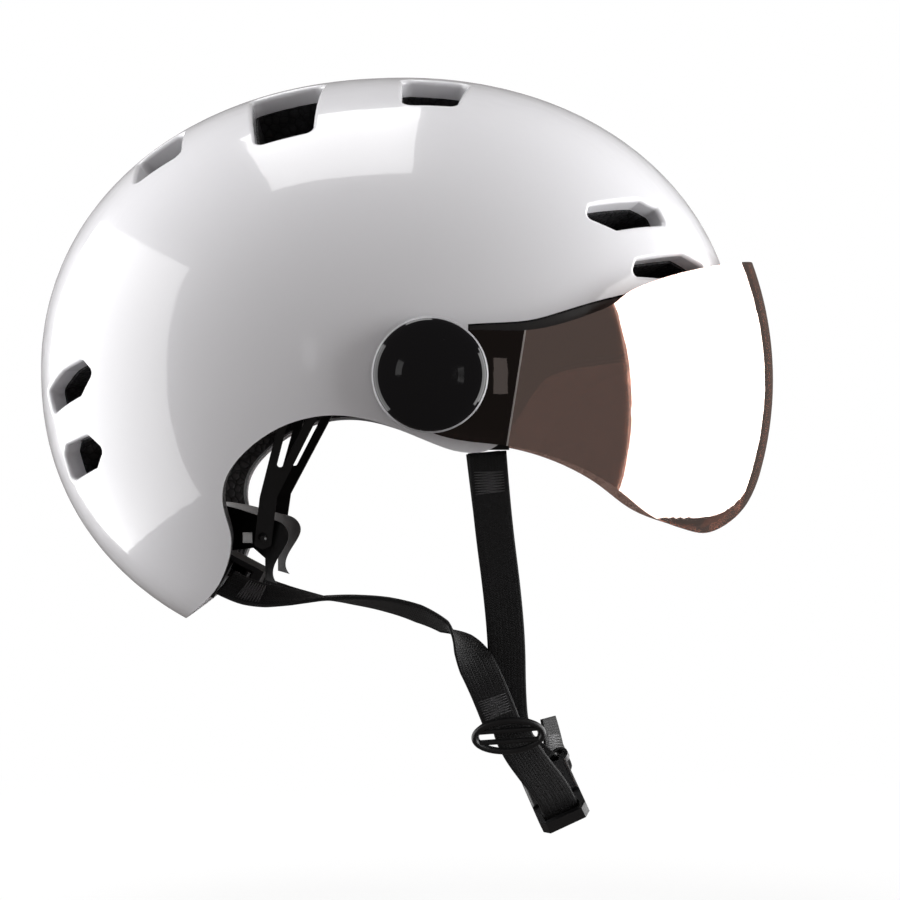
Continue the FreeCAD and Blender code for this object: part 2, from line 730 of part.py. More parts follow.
def make_dial_knob():
    body = new_body("dial_knob", DIAL_PLACE)
    plan = new_sketch(body, "XY_Plane", "knob_plan")
    draw_circle(plan, 0, 0, "sizes.dial_radius")
    plan.AttachmentOffset = FreeCAD.Placement(V(0, 0, DIAL_TOP), FreeCAD.Rotation())
    pad(body, plan, "sizes.dial_thickness")
    shaft = new_sketch(body, "XY_Plane", "knob_shaft")
    draw_circle(shaft, 0, 0, "sizes.shaft_radius")
    shaft.AttachmentOffset = FreeCAD.Placement(V(0, 0, DIAL_TOP + 1), FreeCAD.Rotation())
    pad(body, shaft, 7.4, backwards=True)
    notch = new_sketch(body, "XY_Plane", "knob_notch")
    draw_circle(notch, size("dial_radius") + 1.1, 0, 2.1)
    cut = pocket(body, notch)
    doc.recompute()
    pattern = body.newObject("PartDesign::PolarPattern", "knob_notches")
    pattern.Originals = [cut]
    pattern.Axis = (plan, ["N_Axis"])
    pattern.Angle = 360
    pattern.Occurrences = 18
    body.Tip = pattern


def gear_points():
    """A pinion outline: (radius, half angle in degrees) at root and tip of each tooth."""
    root, tip = (4.8, 8.6), (6.9, 3.4)
    points = []
    for i in range(TEETH):
        middle = 360 * i / TEETH
        for radius, angle in ((root[0], -root[1]), (tip[0], -tip[1]), (tip[0], tip[1]), (root[0], root[1])):
            turn = math.radians(middle + angle)
            points.append((radius * math.cos(turn), radius * math.sin(turn)))
    return points


def make_dial_pinion():
    body = new_body("dial_pinion", DIAL_PLACE)
    plan = new_sketch(body, "XY_Plane", "pinion_plan")
    draw_polygon(plan, gear_points())
    draw_circle(plan, 0, 0, "sizes.shaft_radius + 0.02")
    plan.AttachmentOffset = FreeCAD.Placement(V(0, 0, RACK_Z - 0.1), FreeCAD.Rotation())
    pad(body, plan, 3.3)


def rack_points(direction):
    """A toothed band beside the pinion. direction is 1 for the left band and -1 for the right."""
    tip, root, back = 5.1, 7.2, 9.6
    inner, outer = -15.0, 28.4
    pitch = size("tooth_pitch")
    points = [(back, inner), (root, inner)]
    for k in range(-4, 4):
        middle = (k + 0.5) * pitch
        points += [(root, middle - 1.08), (tip, middle - 0.32), (tip, middle + 0.32), (root, middle + 1.08)]
    points += [(root, outer - 2), (root + 0.8, outer), (back - 0.8, outer), (back, outer - 2)]
    return [(direction * x, direction * y) for x, y in points]


def make_rack(side):
    body = new_body(f"rack_band_{side}", DIAL_PLACE)
    plan = new_sketch(body, "XY_Plane", f"rack_plan_{side}")
    draw_polygon(plan, rack_points(SIDES[side]))
    plan.AttachmentOffset = FreeCAD.Placement(V(0, 0, RACK_Z), FreeCAD.Rotation())
    pad(body, plan, "sizes.rack_thickness")


YOKE_FOOT = 56.5
YOKE_LEAN = 16.7
YOKE_OUTLINE = [
    (-3.4, -3.0), (0.0, -4.6), (3.4, -3.0), (5.9, 17), (25.8, 57), (27.0, 62.5),
    (10.6, 62.5), (9.4, 57), (-0.9, 17),
]
YOKE_WINDOW = [(3.2, 19.0), (21.4, 56.6), (12.8, 56.6)]


def make_yoke(side):
    """A flat V that hangs the cradle's wing from the liner. Its pin holes run straight across the helmet."""
    sign = SIDES[side]
    lean = math.radians(YOKE_LEAN)
    up = V(0, sign * math.sin(lean), math.cos(lean))
    foot = V(CRADLE_PIN[0], sign * YOKE_FOOT, CRADLE_PIN[1])
    wires = []
    for outline in (YOKE_OUTLINE, YOKE_WINDOW):
        corners = [foot + X_AXIS * x + up * y for x, y in outline]
        wires.append(rounded_wire(corners, 1.2))
    thickness = X_AXIS.cross(up).normalize() * size("yoke_thickness")
    plate = Part.Face(wires[0]).cut(Part.Face(wires[1])).Faces[0].extrude(thickness)
    plate.translate(thickness * -0.5)
    hinge = size("pin_radius") + size("running_gap")
    holes = [
        cross_cylinder(*CRADLE_PIN, hinge, 40, 90, side),
        cross_cylinder(*YOKE_PIN, hinge, 40, 90, side),
    ]
    shape_node(f"yoke_{side}", outward(plate).cut(holes))


def push_pin(label, x, z, head_at, tip_at, head_radius, side):
    """A plastic push pin across the helmet: head inside, shank outwards."""
    radius = size("pin_radius")
    length = tip_at - head_at
    section = [(0, 0), (head_radius, 0), (head_radius, 0.9), (radius, 1.2)]
    section += [(radius, length - 0.6), (0.9, length), (0, length)]
    turned_body(f"{label}_{side}", side_placement(x, head_at, z, side), section)


HEADBAND_LENGTH = 109.3
HEADBAND_WIDTH = 76.6


def make_headband():
    """A thin band round the front half of the cavity."""
    band = ellipse_wall(HEADBAND_LENGTH, HEADBAND_WIDTH, 1.2, CENTRE.x, 14.0, 24.0)
    front = Part.makeBox(FAR, 2 * ACROSS, 60, V(-20.0, -ACROSS, -10))
    return band.common(front).cut(hole_across(*HEADBAND_PIN))


# ---------------------------------------------------------------- comfort pads


def make_pad(label, low, high, near, far):
    """A pad on the cavity's wall inside a box, between two depths from the foam."""
    outer = egg(tuple(i + near for i in LINER_INSET))
    inner = egg(tuple(i + far for i in LINER_INSET))
    block = Part.makeBox(high[0] - low[0], high[1] - low[1], high[2] - low[2], V(*low))
    solid = outer.common(block).cut(inner)
    shape_node(label, solid)


# ---------------------------------------------------------------- chin strap

# A strap's route: x, y, z, then the webbing's lean in side view and its roll out of that view, in degrees.
FRONT_STRAP_RIGHT = [
    (40.5, -84.4, -29.5, 0, 0),
    (41.6, -80.5, -43.0, 0, 0),
    (43.6, -72.0, -62.0, 2, 0),
    (46.6, -61.0, -84.0, 3, 0),
    (48.6, -50.5, -105.0, 2, 0),
    (49.0, -41.0, -125.0, 4, 0),
    (50.2, -33.5, -140.0, 14, 0),
    (54.0, -28.0, -149.0, 28, 0),
    (60.5, -18.5, -158.5, 35, 0),
    (67.2, -7.0, -167.5, 33, 0),
    (70.9, 3.8, -174.6, 27, 0),
    (72.6, 6.0, -179.0, 25, 0),
    (74.3, 8.8, -182.0, 25, 0),
    (73.7, 13.6, -181.0, 25, 0),
    (71.4, 21.5, -175.9, 25, 0),
    (70.0, 29.0, -170.4, 27, 0),
    (70.0, 36.5, -165.0, 35, 0),
    (70.4, 41.5, -157.5, 40, 30),
    (69.4, 43.0, -149.5, 30, 58),
    (67.6, 43.5, -142.0, 20, 66),
]
FRONT_STRAP_LEFT = [
    (40.5, 84.3, -29.8, 0, 0),
    (42.2, 80.5, -44.0, 0, 0),
    (44.8, 72.0, -65.0, 2, 0),
    (48.0, 61.0, -88.5, 3, 0),
    (50.0, 50.5, -110.0, 2, 0),
    (50.2, 41.0, -130.0, 4, 0),
    (51.2, 34.5, -146.0, 14, 0),
    (55.2, 33.6, -153.4, 24, 0),
    (59.9, 32.8, -156.9, 27, 0),
    (63.8, 26.0, -159.6, 25, 0),
]
REAR_STRAP_RIGHT = [
    (-63.6, -44.0, -81.3, 62, 45),
    (-57.5, -45.2, -84.5, 68, 50),
    (-49.0, -47.5, -86.6, 78, 58),
    (-38.0, -50.0, -87.2, 86, 72),
    (-26.5, -52.0, -87.6, 88, 90),
    (-14.0, -53.0, -88.0, 86, 101),
    (1.0, -53.2, -89.6, 78, 110),
    (15.0, -53.2, -93.6, 68, 116),
    (26.0, -52.6, -99.6, 56, 108),
    (32.0, -52.0, -107.6, 44, 50),
    (36.0, -51.4, -117.0, 32, 4),
    (40.2, -48.0, -127.6, 20, -6),
    (43.6, -44.9, -133.0, 14, -6),
]
REAR_STRAP_LEFT = [
    (-63.0, 44.1, -81.6, 62, -45),
    (-57.8, 45.2, -84.9, 68, -50),
    (-50.0, 47.5, -88.6, 78, -58),
    (-39.6, 50.0, -90.6, 86, -72),
    (-28.4, 52.0, -91.4, 88, -90),
    (-16.4, 53.0, -92.2, 86, -101),
    (-0.6, 53.2, -94.2, 78, -110),
    (14.2, 53.2, -98.6, 68, -116),
    (26.0, 52.6, -105.0, 56, -108),
    (32.6, 51.4, -113.4, 44, -58),
    (37.4, 50.8, -123.0, 32, -8),
    (41.8, 48.2, -133.6, 20, 2),
    (44.7, 45.6, -138.8, 14, 2),
]
ARC_STEPS = 4
ARC_SHARE = 0.45


def strap_stations(route):
    """Points, directions and webbing angles along straight runs joined by tangent arcs."""
    points = [V(*p[:3]) for p in route]
    stations = [(points[0], (points[1] - points[0]).normalize(), 0.0)]
    radii = []
    for i in range(1, len(points) - 1):
        back = points[i] - points[i - 1]
        ahead = points[i + 1] - points[i]
        shorter = min(back.Length, ahead.Length)
        into, out = V(back).normalize(), V(ahead).normalize()
        half = into.getAngle(out) / 2
        reach = ARC_SHARE * shorter
        radius = reach / math.tan(half)
        radii.append(radius)
        side = (out - into).normalize()
        centre = points[i] - into * reach
        toward = (side - into * side.dot(into)).normalize()
        middle = centre + toward * radius
        for k in range(ARC_STEPS + 1):
            turn = 2 * half * k / ARC_STEPS
            place = middle - toward * (radius * math.cos(turn)) + into * (radius * math.sin(turn))
            heading = into * math.cos(turn) + toward * math.sin(turn)
            before = i - reach / back.Length
            after = i + reach / ahead.Length
            stations.append((place, heading, before + (after - before) * k / ARC_STEPS))
    stations.append((points[-1], (points[-1] - points[-2]).normalize(), float(len(points) - 1)))
    return stations, radii


def strap_ring(route, place, heading, along):
    """The webbing's section at one station, as a closed rectangle."""
    i = min(int(along), len(route) - 2)
    share = along - i
    lean, roll = (math.radians(route[i][n] * (1 - share) + route[i + 1][n] * share) for n in (3, 4))
    wide = V(math.cos(lean), 0, math.sin(lean)) * math.cos(roll) + Y_AXIS * math.sin(roll)
    wide = (wide - heading * wide.dot(heading)).normalize()
    thick = heading.cross(wide)
    wide = wide * (size("webbing_width") / 2)
    thick = thick * (size("webbing_thickness") / 2)
    signs = ((1, 1), (-1, 1), (-1, -1), (1, -1), (1, 1))
    return Part.makePolygon([place + wide * a + thick * b for a, b in signs])


def make_strap(label, route):
    stations, radii = strap_stations(route)
    solid = outward(Part.makeLoft([strap_ring(route, *station) for station in stations], True, True))
    length = sum(a[0].distanceToPoint(b[0]) for a, b in zip(stations, stations[1:]))
    section = size("webbing_width") * size("webbing_thickness")
    share = solid.Volume / (length * section)
    radii = [round(radius) for radius in radii]
    print(f"{label}: {length:.0f} mm, volume {share:.3f} of section times length, radii {radii}")
    shape_node(label, solid)


def make_divider(side, centre, lean):
    """An oval ring with two cross bars, square to the webbing that passes behind it."""
    sign = SIDES[side]
    run = V(0.05, -0.42 * sign, -0.9).normalize()
    across = V(math.cos(math.radians(lean)), 0, math.sin(math.radians(lean)))
    across = (across - run * across.dot(run)).normalize()
    ring = Part.Ellipse(V(0, 0, 0), 13.7, 7.0).toShape()
    section = Part.Wire(Part.Circle(V(13.7, 0, 0), V(0, 1, 0), 1.3).toShape())
    solid = outward(Part.Wire(ring).makePipeShell([section], True, True))
    bars = [Part.makeCylinder(1.0, 25.6, V(-12.8, y, 0), X_AXIS) for y in (2.5, -2.5)]
    solid = solid.fuse(bars)
    solid.Placement = FreeCAD.Placement(centre, FreeCAD.Rotation(across, run * -1, V(0, 0, 0), "XYZ"))
    shape_node(f"strap_divider_{side}", solid)


# ---------------------------------------------------------------- buckle

BUCKLE_FOOT = V(74.0, 3.0, -181.5)
BUCKLE_WIDE = V(0.906, 0, 0.423)
BUCKLE_ALONG = V(-0.2664, 0.7768, 0.5706)
BUCKLE_PLACE = FreeCAD.Placement(BUCKLE_FOOT, FreeCAD.Rotation(BUCKLE_WIDE, BUCKLE_ALONG, V(0, 0, 0), "XYZ"))
MOUTH = 11.4
PLUG_FACE = 11.0
HOUSING_END = 30.0
PRONG_HINGE = (7.2, 11.9)
PRONG_ROOT = 0.85


def make_buckle_plug():
    """The lower half: a frame that the right webbing folds through, and a guide tongue."""
    body = new_body("buckle_plug", BUCKLE_PLACE)
    frame = new_sketch(body, "XY_Plane", "plug_frame")
    half = size("buckle_width") / 2
    foot = [(-half, 2.5), (-half + 2.5, 0), (half - 2.5, 0), (half, 2.5)]
    draw_polygon(frame, foot + [(half, PLUG_FACE), (-half, PLUG_FACE)])
    pad(body, frame, "sizes.plug_thickness", both_ways=True)
    tongue = new_sketch(body, "XY_Plane", "plug_tongue")
    draw_polygon(tongue, box_points(2.1, PLUG_FACE - 0.5, 26.0))
    pad(body, tongue, 3.0, both_ways=True)
    slot = new_sketch(body, "XY_Plane", "plug_slot")
    draw_polygon(slot, box_points(8.0, 1.9, 5.9))
    pocket(body, slot)


def make_prong(name, direction):
    """A sprung arm of the plug, round at its root, with the button that shows in the housing's side."""
    body = new_body(f"buckle_prong_{name}", BUCKLE_PLACE)
    plan = new_sketch(body, "XY_Plane", f"prong_plan_{name}")
    outline = [(6.35, 11.9), (8.05, 11.9), (8.7, 15.2), (10.4, 15.9)]
    outline += [(10.4, 21.6), (8.7, 23.0), (7.6, 25.5), (6.4, 24.0)]
    draw_polygon(plan, [(direction * x, y) for x, y in outline])
    pad(body, plan, 4.0, both_ways=True)
    root = new_sketch(body, "XY_Plane", f"prong_root_{name}")
    draw_circle(root, direction * PRONG_HINGE[0], PRONG_HINGE[1], PRONG_ROOT)
    pad(body, root, 4.0, both_ways=True)


def make_buckle_housing():
    """The upper half: a hollow box with side windows, a webbing bar and a pull lug."""
    half = size("buckle_width") / 2
    thick = size("buckle_thickness")
    outer = Part.makeBox(2 * half, HOUSING_END - MOUTH, thick, V(-half, MOUTH, -thick / 2))
    outer = outer.makeFillet(1.6, [e for e in outer.Edges if abs(e.tangentAt(0).y) > 0.9])
    frame = Part.makeBox(2 * half, 6.5, 5.0, V(-half, HOUSING_END - 0.5, -2.5))
    lug = Part.makeCylinder(4.0, 2.6, V(8.5, 36.0, -1.3))
    solid = outer.fuse([frame, lug])
    cavity = Part.makeBox(18.0, 16.4, 4.4, V(-9.0, MOUTH - 0.2, -2.2))
    windows = Part.makeBox(4 * half, 9.0, 4.4, V(-2 * half, 14.4, -2.2))
    slot = Part.makeBox(15.8, 2.6, 20.0, V(-7.9, 31.6, -10.0))
    eye = Part.makeCylinder(1.9, 6.0, V(8.9, 36.6, -3.0))
    solid = solid.cut([cavity, windows, slot, eye]).removeSplitter()
    solid.Placement = BUCKLE_PLACE
    shape_node("buckle_housing", solid)


# ---------------------------------------------------------------- build everything


def build():
    shape_node("outer_shell", make_outer_shell())
    shape_node("foam_liner", make_foam_liner())
    shape_node("brow_shell", make_brow_shell())
    shape_node("visor_lens", make_visor_lens())
    for side in SIDES:
        make_pivot_base(side)
        make_pivot_nut(side)
        make_pivot_screw(side)
        make_pivot_washer(side)
        make_pivot_ring(side)
        make_pivot_cap(side)
    shape_node("cradle", make_cradle())
    make_dial_cover()
    make_dial_screws()
    make_dial_knob()
    make_dial_pinion()
    for side in SIDES:
        make_rack(side)
        make_yoke(side)
        push_pin("yoke_pin", *YOKE_PIN, 70.2, 84.0, 4.0, side)
        push_pin("headband_pin", *HEADBAND_PIN, 70.4, 84.0, 3.4, side)
        push_pin("cradle_pin", *CRADLE_PIN, 46.6, 59.5, 3.2, side)
    shape_node("headband", make_headband())
    make_pad("brow_pad", (62, -54, 12), (130, 54, 44), 5.6, 10.6)
    make_pad("crown_pad", (-52, -13, 40), (60, 13, 100), 0.6, 6.6)
    make_pad("rear_pad", (-130, -36, 4), (-60, 36, 34), 0.6, 6.6)
    make_pad("side_pad_right", (-60, -90, 30), (26, -30, 60), 0.6, 6.6)
    make_pad("side_pad_left", (-60, 30, 30), (26, 90, 60), 0.6, 6.6)
    for side in SIDES:
        make_anchor("front_anchor", FRONT_ANCHOR, side)
        make_anchor("rear_anchor", REAR_ANCHOR, side)
    make_strap("front_strap_right", FRONT_STRAP_RIGHT)
    make_strap("front_strap_left", FRONT_STRAP_LEFT)
    make_strap("rear_strap_right", REAR_STRAP_RIGHT)
    make_strap("rear_strap_left", REAR_STRAP_LEFT)
    make_divider("right", V(49.6, -39.6, -143.0), 8)
    make_divider("left", V(50.8, 40.8, -149.2), 8)
    make_buckle_plug()
    make_prong("front", 1)
    make_prong("rear", -1)
    make_buckle_housing()
    doc.recompute()


def write_parts():
    for thing in doc.Objects:
        if any(state in ("Invalid", "Error") for state in thing.State):
            raise RuntimeError(f"{thing.Label} failed to build: {thing.State}")
    for thing in nodes:
        shape = thing.Shape
        if shape.isNull() or not shape.isValid() or shape.Volume <= 0:
            raise RuntimeError(f"{thing.Label} has no sound solid")
    os.makedirs("parts", exist_ok=True)
    for thing in nodes:
        thing.Shape.exportStep(os.path.join("parts", thing.Label + ".step"))
    print(len(nodes), "sub-parts written")


build()
write_parts()
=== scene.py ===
import json
import math

import bmesh
import bpy
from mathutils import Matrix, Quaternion, Vector
from mathutils.bvhtree import BVHTree


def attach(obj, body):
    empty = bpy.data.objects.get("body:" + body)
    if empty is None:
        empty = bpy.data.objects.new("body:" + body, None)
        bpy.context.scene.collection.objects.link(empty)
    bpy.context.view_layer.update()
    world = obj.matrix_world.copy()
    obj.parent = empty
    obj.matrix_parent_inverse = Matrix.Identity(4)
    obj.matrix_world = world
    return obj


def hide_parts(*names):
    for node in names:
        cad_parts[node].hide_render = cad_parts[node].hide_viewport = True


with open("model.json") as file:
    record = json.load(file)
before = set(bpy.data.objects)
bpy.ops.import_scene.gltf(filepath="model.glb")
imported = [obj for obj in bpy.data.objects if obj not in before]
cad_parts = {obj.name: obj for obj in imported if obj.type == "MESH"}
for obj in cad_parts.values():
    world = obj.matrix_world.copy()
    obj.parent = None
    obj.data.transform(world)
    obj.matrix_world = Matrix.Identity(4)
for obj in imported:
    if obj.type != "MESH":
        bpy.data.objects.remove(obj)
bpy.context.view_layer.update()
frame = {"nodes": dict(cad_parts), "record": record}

# A cycling helmet with a pivoting visor. Metres, +X front, +Y the wearer's left, +Z up.
scene = bpy.context.scene
scene.view_settings.view_transform = "Standard"
NODES = frame["nodes"]


# ---------------------------------------------------------------- camera

VIEW_CENTRE = Vector((0.0261, 0.0, -0.0286))
VIEW_DISTANCE = 1.45
VIEW_WIDTH = 0.3704

camera_data = bpy.data.cameras.new("camera")
camera_data.sensor_width = 36.0
camera_data.lens = camera_data.sensor_width * VIEW_DISTANCE / VIEW_WIDTH
camera = bpy.data.objects.new("camera", camera_data)
camera.location = VIEW_CENTRE - Vector((0, VIEW_DISTANCE, 0))
camera.rotation_euler = (math.pi / 2, 0, 0)
scene.collection.objects.link(camera)
scene.camera = camera


# ---------------------------------------------------------------- shader helper


class Shader:
    """A node material, with short calls for its nodes and links."""

    def __init__(self, name):
        self.material = bpy.data.materials.new(name)
        self.material.use_nodes = True
        self.tree = self.material.node_tree
        self.tree.nodes.clear()
        self.output = self.add("ShaderNodeOutputMaterial")

    def add(self, kind, inputs=None, **settings):
        """A node. inputs maps a socket's name or number to a value or to another node's socket."""
        node = self.tree.nodes.new(kind)
        for key, value in settings.items():
            setattr(node, key, value)
        for key, value in (inputs or {}).items():
            if isinstance(value, bpy.types.NodeSocket):
                self.tree.links.new(value, node.inputs[key])
            else:
                node.inputs[key].default_value = value
        return node

    def math(self, operation, a, b=0.0, c=0.0):
        return self.add("ShaderNodeMath", {0: a, 1: b, 2: c}, operation=operation).outputs[0]

    def place(self):
        """Where the shaded point is in the row frame, in metres."""
        return self.add("ShaderNodeTexCoord").outputs["Object"]

    def noise(self, scale, detail=2.0, rough=0.5, where=None):
        inputs = {"Vector": where or self.place(), "Scale": scale, "Detail": detail, "Roughness": rough}
        return self.add("ShaderNodeTexNoise", inputs).outputs["Fac"]

    def cells(self, scale, feature="F1", where=None):
        inputs = {"Vector": where or self.place(), "Scale": scale}
        return self.add("ShaderNodeTexVoronoi", inputs, feature=feature).outputs["Distance"]

    def ramp(self, value, low, high, to_low=0.0, to_high=1.0):
        """value from low..high to to_low..to_high, clamped."""
        inputs = {"Value": value, "From Min": low, "From Max": high, "To Min": to_low, "To Max": to_high}
        return self.add("ShaderNodeMapRange", inputs).outputs["Result"]

    def colour(self, value, first, second):
        inputs = {0: value, 6: (*first, 1), 7: (*second, 1)}
        return self.add("ShaderNodeMix", inputs, data_type="RGBA").outputs[2]

    def bump(self, height, strength, distance, over=None):
        inputs = {"Height": height, "Strength": strength, "Distance": distance}
        if over is not None:
            inputs["Normal"] = over
        return self.add("ShaderNodeBump", inputs).outputs["Normal"]

    def surface(self, **inputs):
        """Ends the material in one Principled shader. Underscores stand for spaces."""
        named = {key.replace("_", " "): value for key, value in inputs.items()}
        shader = self.add("ShaderNodeBsdfPrincipled", named)
        return self.end(shader.outputs[0])

    def end(self, shader):
        self.tree.links.new(shader, self.output.inputs["Surface"])
        return self.material


def moulded_plastic(name, dark, light, rough, strength=0.35):
    """Plastic from a spark-eroded mould: fine grain, slight cloudiness and varied gloss."""
    s = Shader(name)
    grain = s.noise(2600.0, 3.0, 0.6)
    cloud = s.noise(45.0, 3.0, 0.5)
    return s.surface(
        Base_Color=s.colour(cloud, dark, light),
        Roughness=s.ramp(s.noise(220.0, 4.0), 0.3, 0.7, rough - 0.06, rough + 0.08),
        Normal=s.bump(grain, strength, 0.00003),
        Specular_IOR_Level=0.45,
    )


def turned_metal(name, dark, light, rough):
    """Machined metal: a very fine tool texture that varies its gloss."""
    s = Shader(name)
    marks = s.noise(5200.0, 1.0)
    return s.surface(
        Base_Color=s.colour(s.noise(300.0), dark, light),
        Metallic=1.0,
        Roughness=s.ramp(marks, 0.3, 0.7, rough - 0.08, rough + 0.08),
        Normal=s.bump(marks, 0.3, 0.00002),
    )


def shell_paint():
    """White gloss with a clear coat: a very fine orange peel and a faint speck in the pigment."""
    s = Shader("shell_white")
    peel = s.noise(420.0, 2.0, 0.4)
    cloud = s.noise(9.0, 2.0, 0.5)
    return s.surface(
        Base_Color=s.colour(cloud, (0.80, 0.80, 0.83), (0.84, 0.84, 0.865)),
        Roughness=s.ramp(s.noise(130.0, 3.0), 0.35, 0.65, 0.16, 0.24),
        Specular_IOR_Level=0.25,
        Coat_Weight=0.6,
        Coat_Roughness=0.015,
        Coat_IOR=1.55,
        Normal=s.bump(peel, 0.05, 0.0002),
        Coat_Normal=s.bump(peel, 0.02, 0.0001),
    )


def foam():
    """Moulded bead foam: fused beads a few millimetres across, with a skinned, slightly shiny face."""
    s = Shader("foam_black")
    beads = s.cells(330.0)
    seams = s.cells(330.0, "DISTANCE_TO_EDGE")
    fine = s.noise(1500.0, 3.0, 0.6)
    height = s.math("ADD", s.ramp(seams, 0.0, 0.18, 0.0, 1.0), s.math("MULTIPLY", fine, 0.25))
    return s.surface(
        Base_Color=s.colour(s.ramp(beads, 0.0, 0.8), (0.022, 0.022, 0.024), (0.009, 0.009, 0.010)),
        Roughness=s.ramp(seams, 0.0, 0.15, 0.92, 0.62),
        Normal=s.bump(height, 0.5, 0.0005),
        Specular_IOR_Level=0.3,
    )


# Two points on the moulded crease across each arm of the lens, as X and Z.
CREASE_TOP = (0.0556, 0.0220)
CREASE_BOTTOM = (0.0478, -0.0274)


def lens_coating():
    """Smoke-brown polycarbonate with a mirror coat. Behind a moulded crease its arms are nearly black; a
    pale line along the crease is a painted highlight.
    """
    s = Shader("lens_mirror")
    split = s.add("ShaderNodeSeparateXYZ", {0: s.place()})
    slope = (CREASE_TOP[0] - CREASE_BOTTOM[0]) / (CREASE_TOP[1] - CREASE_BOTTOM[1])
    line = s.math("MULTIPLY_ADD", split.outputs["Z"], slope, CREASE_BOTTOM[0] - slope * CREASE_BOTTOM[1])
    ahead = s.math("SUBTRACT", split.outputs["X"], line)
    front = s.ramp(ahead, -0.0004, 0.0004)
    ridge = s.ramp(s.math("ABSOLUTE", ahead), 0.0002, 0.0005, 1.0, 0.0)
    haze = s.noise(30.0, 3.0, 0.5)
    scuffs = s.ramp(s.noise(900.0, 4.0, 0.7), 0.62, 0.8)
    peel = s.noise(25.0, 1.0, 0.3)
    normal = s.bump(peel, 0.03, 0.0004)
    through = s.add(
        "ShaderNodeBsdfTransparent",
        {"Color": s.colour(front, (0.12, 0.09, 0.08), (0.62, 0.50, 0.46))},
    )
    rough = s.math("ADD", s.ramp(haze, 0.3, 0.7, 0.012, 0.03), s.math("MULTIPLY", scuffs, 0.05))
    mirror = s.add(
        "ShaderNodeBsdfAnisotropic",
        {"Color": (1.0, 0.84, 0.77, 1), "Roughness": rough, "Normal": normal},
    )
    rim = s.add("ShaderNodeLayerWeight", {"Blend": 0.25, "Normal": normal}).outputs["Fresnel"]
    amount = s.math("MULTIPLY_ADD", rim, 0.55, 0.40)
    amount = s.math("MULTIPLY", amount, s.ramp(front, 0.0, 1.0, 0.12, 1.0))
    coated = s.add("ShaderNodeMixShader", {0: amount, 1: through.outputs[0], 2: mirror.outputs[0]})
    # A pale diffuse line along the crease: a painted highlight on the lens.
    bright = s.add("ShaderNodeBsdfDiffuse", {"Color": (0.55, 0.52, 0.5, 1)})
    painted_highlight_share = s.math("MULTIPLY", ridge, 0.55)
    lens_with_painted_highlight = s.add("ShaderNodeMixShader", {0: painted_highlight_share, 1: coated.outputs[0], 2: bright.outputs[0]})
    return s.end(lens_with_painted_highlight.outputs[0])


def cap_gloss():
    """Piano-black plastic with a hairline of polish marks and a little dust."""
    s = Shader("cap_black")
    dust = s.ramp(s.cells(260.0), 0.0, 0.035, 1.0, 0.0)
    marks = s.noise(700.0, 5.0, 0.7)
    return s.surface(
        Base_Color=s.colour(dust, (0.004, 0.004, 0.005), (0.10, 0.10, 0.11)),
        Roughness=s.ramp(marks, 0.4, 0.75, 0.03, 0.11),
        Specular_IOR_Level=0.4,
        Normal=s.bump(s.noise(60.0), 0.02, 0.0003),
    )


def knit():
    """Brushed knit over foam: small loops with fuzz over them and a soft sheen."""
    s = Shader("pad_knit")
    loops = s.cells(620.0)
    fuzz = s.noise(3500.0, 3.0, 0.7)
    height = s.math("ADD", s.ramp(loops, 0.0, 0.6, 1.0, 0.0), s.math("MULTIPLY", fuzz, 0.3))
    return s.surface(
        Base_Color=s.colour(s.ramp(loops, 0.1, 0.6), (0.045, 0.045, 0.05), (0.012, 0.012, 0.014)),
        Roughness=0.92,
        Sheen_Weight=0.5,
        Sheen_Roughness=0.45,
        Normal=s.bump(height, 0.6, 0.0006),
    )


COLUMN_WIDTH = 0.00125
THREAD_SPACING = 0.0011


def webbing():
    """Woven strap: slanting threads in columns that lean one way, then the other."""
    s = Shader("webbing_black")
    uv = s.add("ShaderNodeSeparateXYZ", {0: s.add("ShaderNodeUVMap", uv_map="length_and_width").outputs[0]})
    along, across = uv.outputs["X"], uv.outputs["Y"]
    column = s.math("DIVIDE", across, COLUMN_WIDTH)
    inside = s.math("FRACT", column)
    lean = s.math("MULTIPLY_ADD", s.math("PINGPONG", s.math("FLOOR", column), 1.0), 2.0, -1.0)
    phase = s.math("ADD", s.math("DIVIDE", along, THREAD_SPACING), s.math("MULTIPLY", lean, inside))
    threads = s.math("MULTIPLY_ADD", s.math("SINE", s.math("MULTIPLY", phase, 2 * math.pi)), 0.5, 0.5)
    off_centre = s.math("ABSOLUTE", s.math("MULTIPLY_ADD", inside, 2.0, -1.0))
    crown = s.math("SUBTRACT", 1.0, s.math("POWER", off_centre, 2.0))
    height = s.math("MULTIPLY", s.math("POWER", threads, 0.6), s.math("POWER", crown, 0.5))
    fibre = s.noise(5200.0, 3.0, 0.7)
    hairy_height = s.math("ADD", height, s.math("MULTIPLY", fibre, 0.25))
    # Base colour lighter on thread crowns and darker in the grooves between them: painted highlight and
    # painted shade, broken up by a random fibre tone.
    painted_crown_highlight_and_fibre = s.math("MULTIPLY", height, fibre)
    return s.surface(
        Base_Color=s.colour(painted_crown_highlight_and_fibre, (0.002, 0.002, 0.0022), (0.016, 0.016, 0.0175)),
        Roughness=s.ramp(height, 0.0, 1.0, 0.85, 0.55),
        Specular_IOR_Level=0.3,
        Sheen_Weight=0.04,
        Sheen_Roughness=0.4,
        Normal=s.bump(hairy_height, 0.55, 0.00025),
    )


def thread():
    """Twisted sewing thread."""
    s = Shader("thread_black")
    plies = {"Vector": s.place(), "Scale": 900.0, "Distortion": 1.5}
    twist = s.add("ShaderNodeTexWave", plies).outputs["Fac"]
    return s.surface(
        Base_Color=s.colour(twist, (0.012, 0.012, 0.013), (0.06, 0.06, 0.065)),
        Roughness=0.6,
        Sheen_Weight=0.4,
        Normal=s.bump(twist, 0.5, 0.0001),
    )


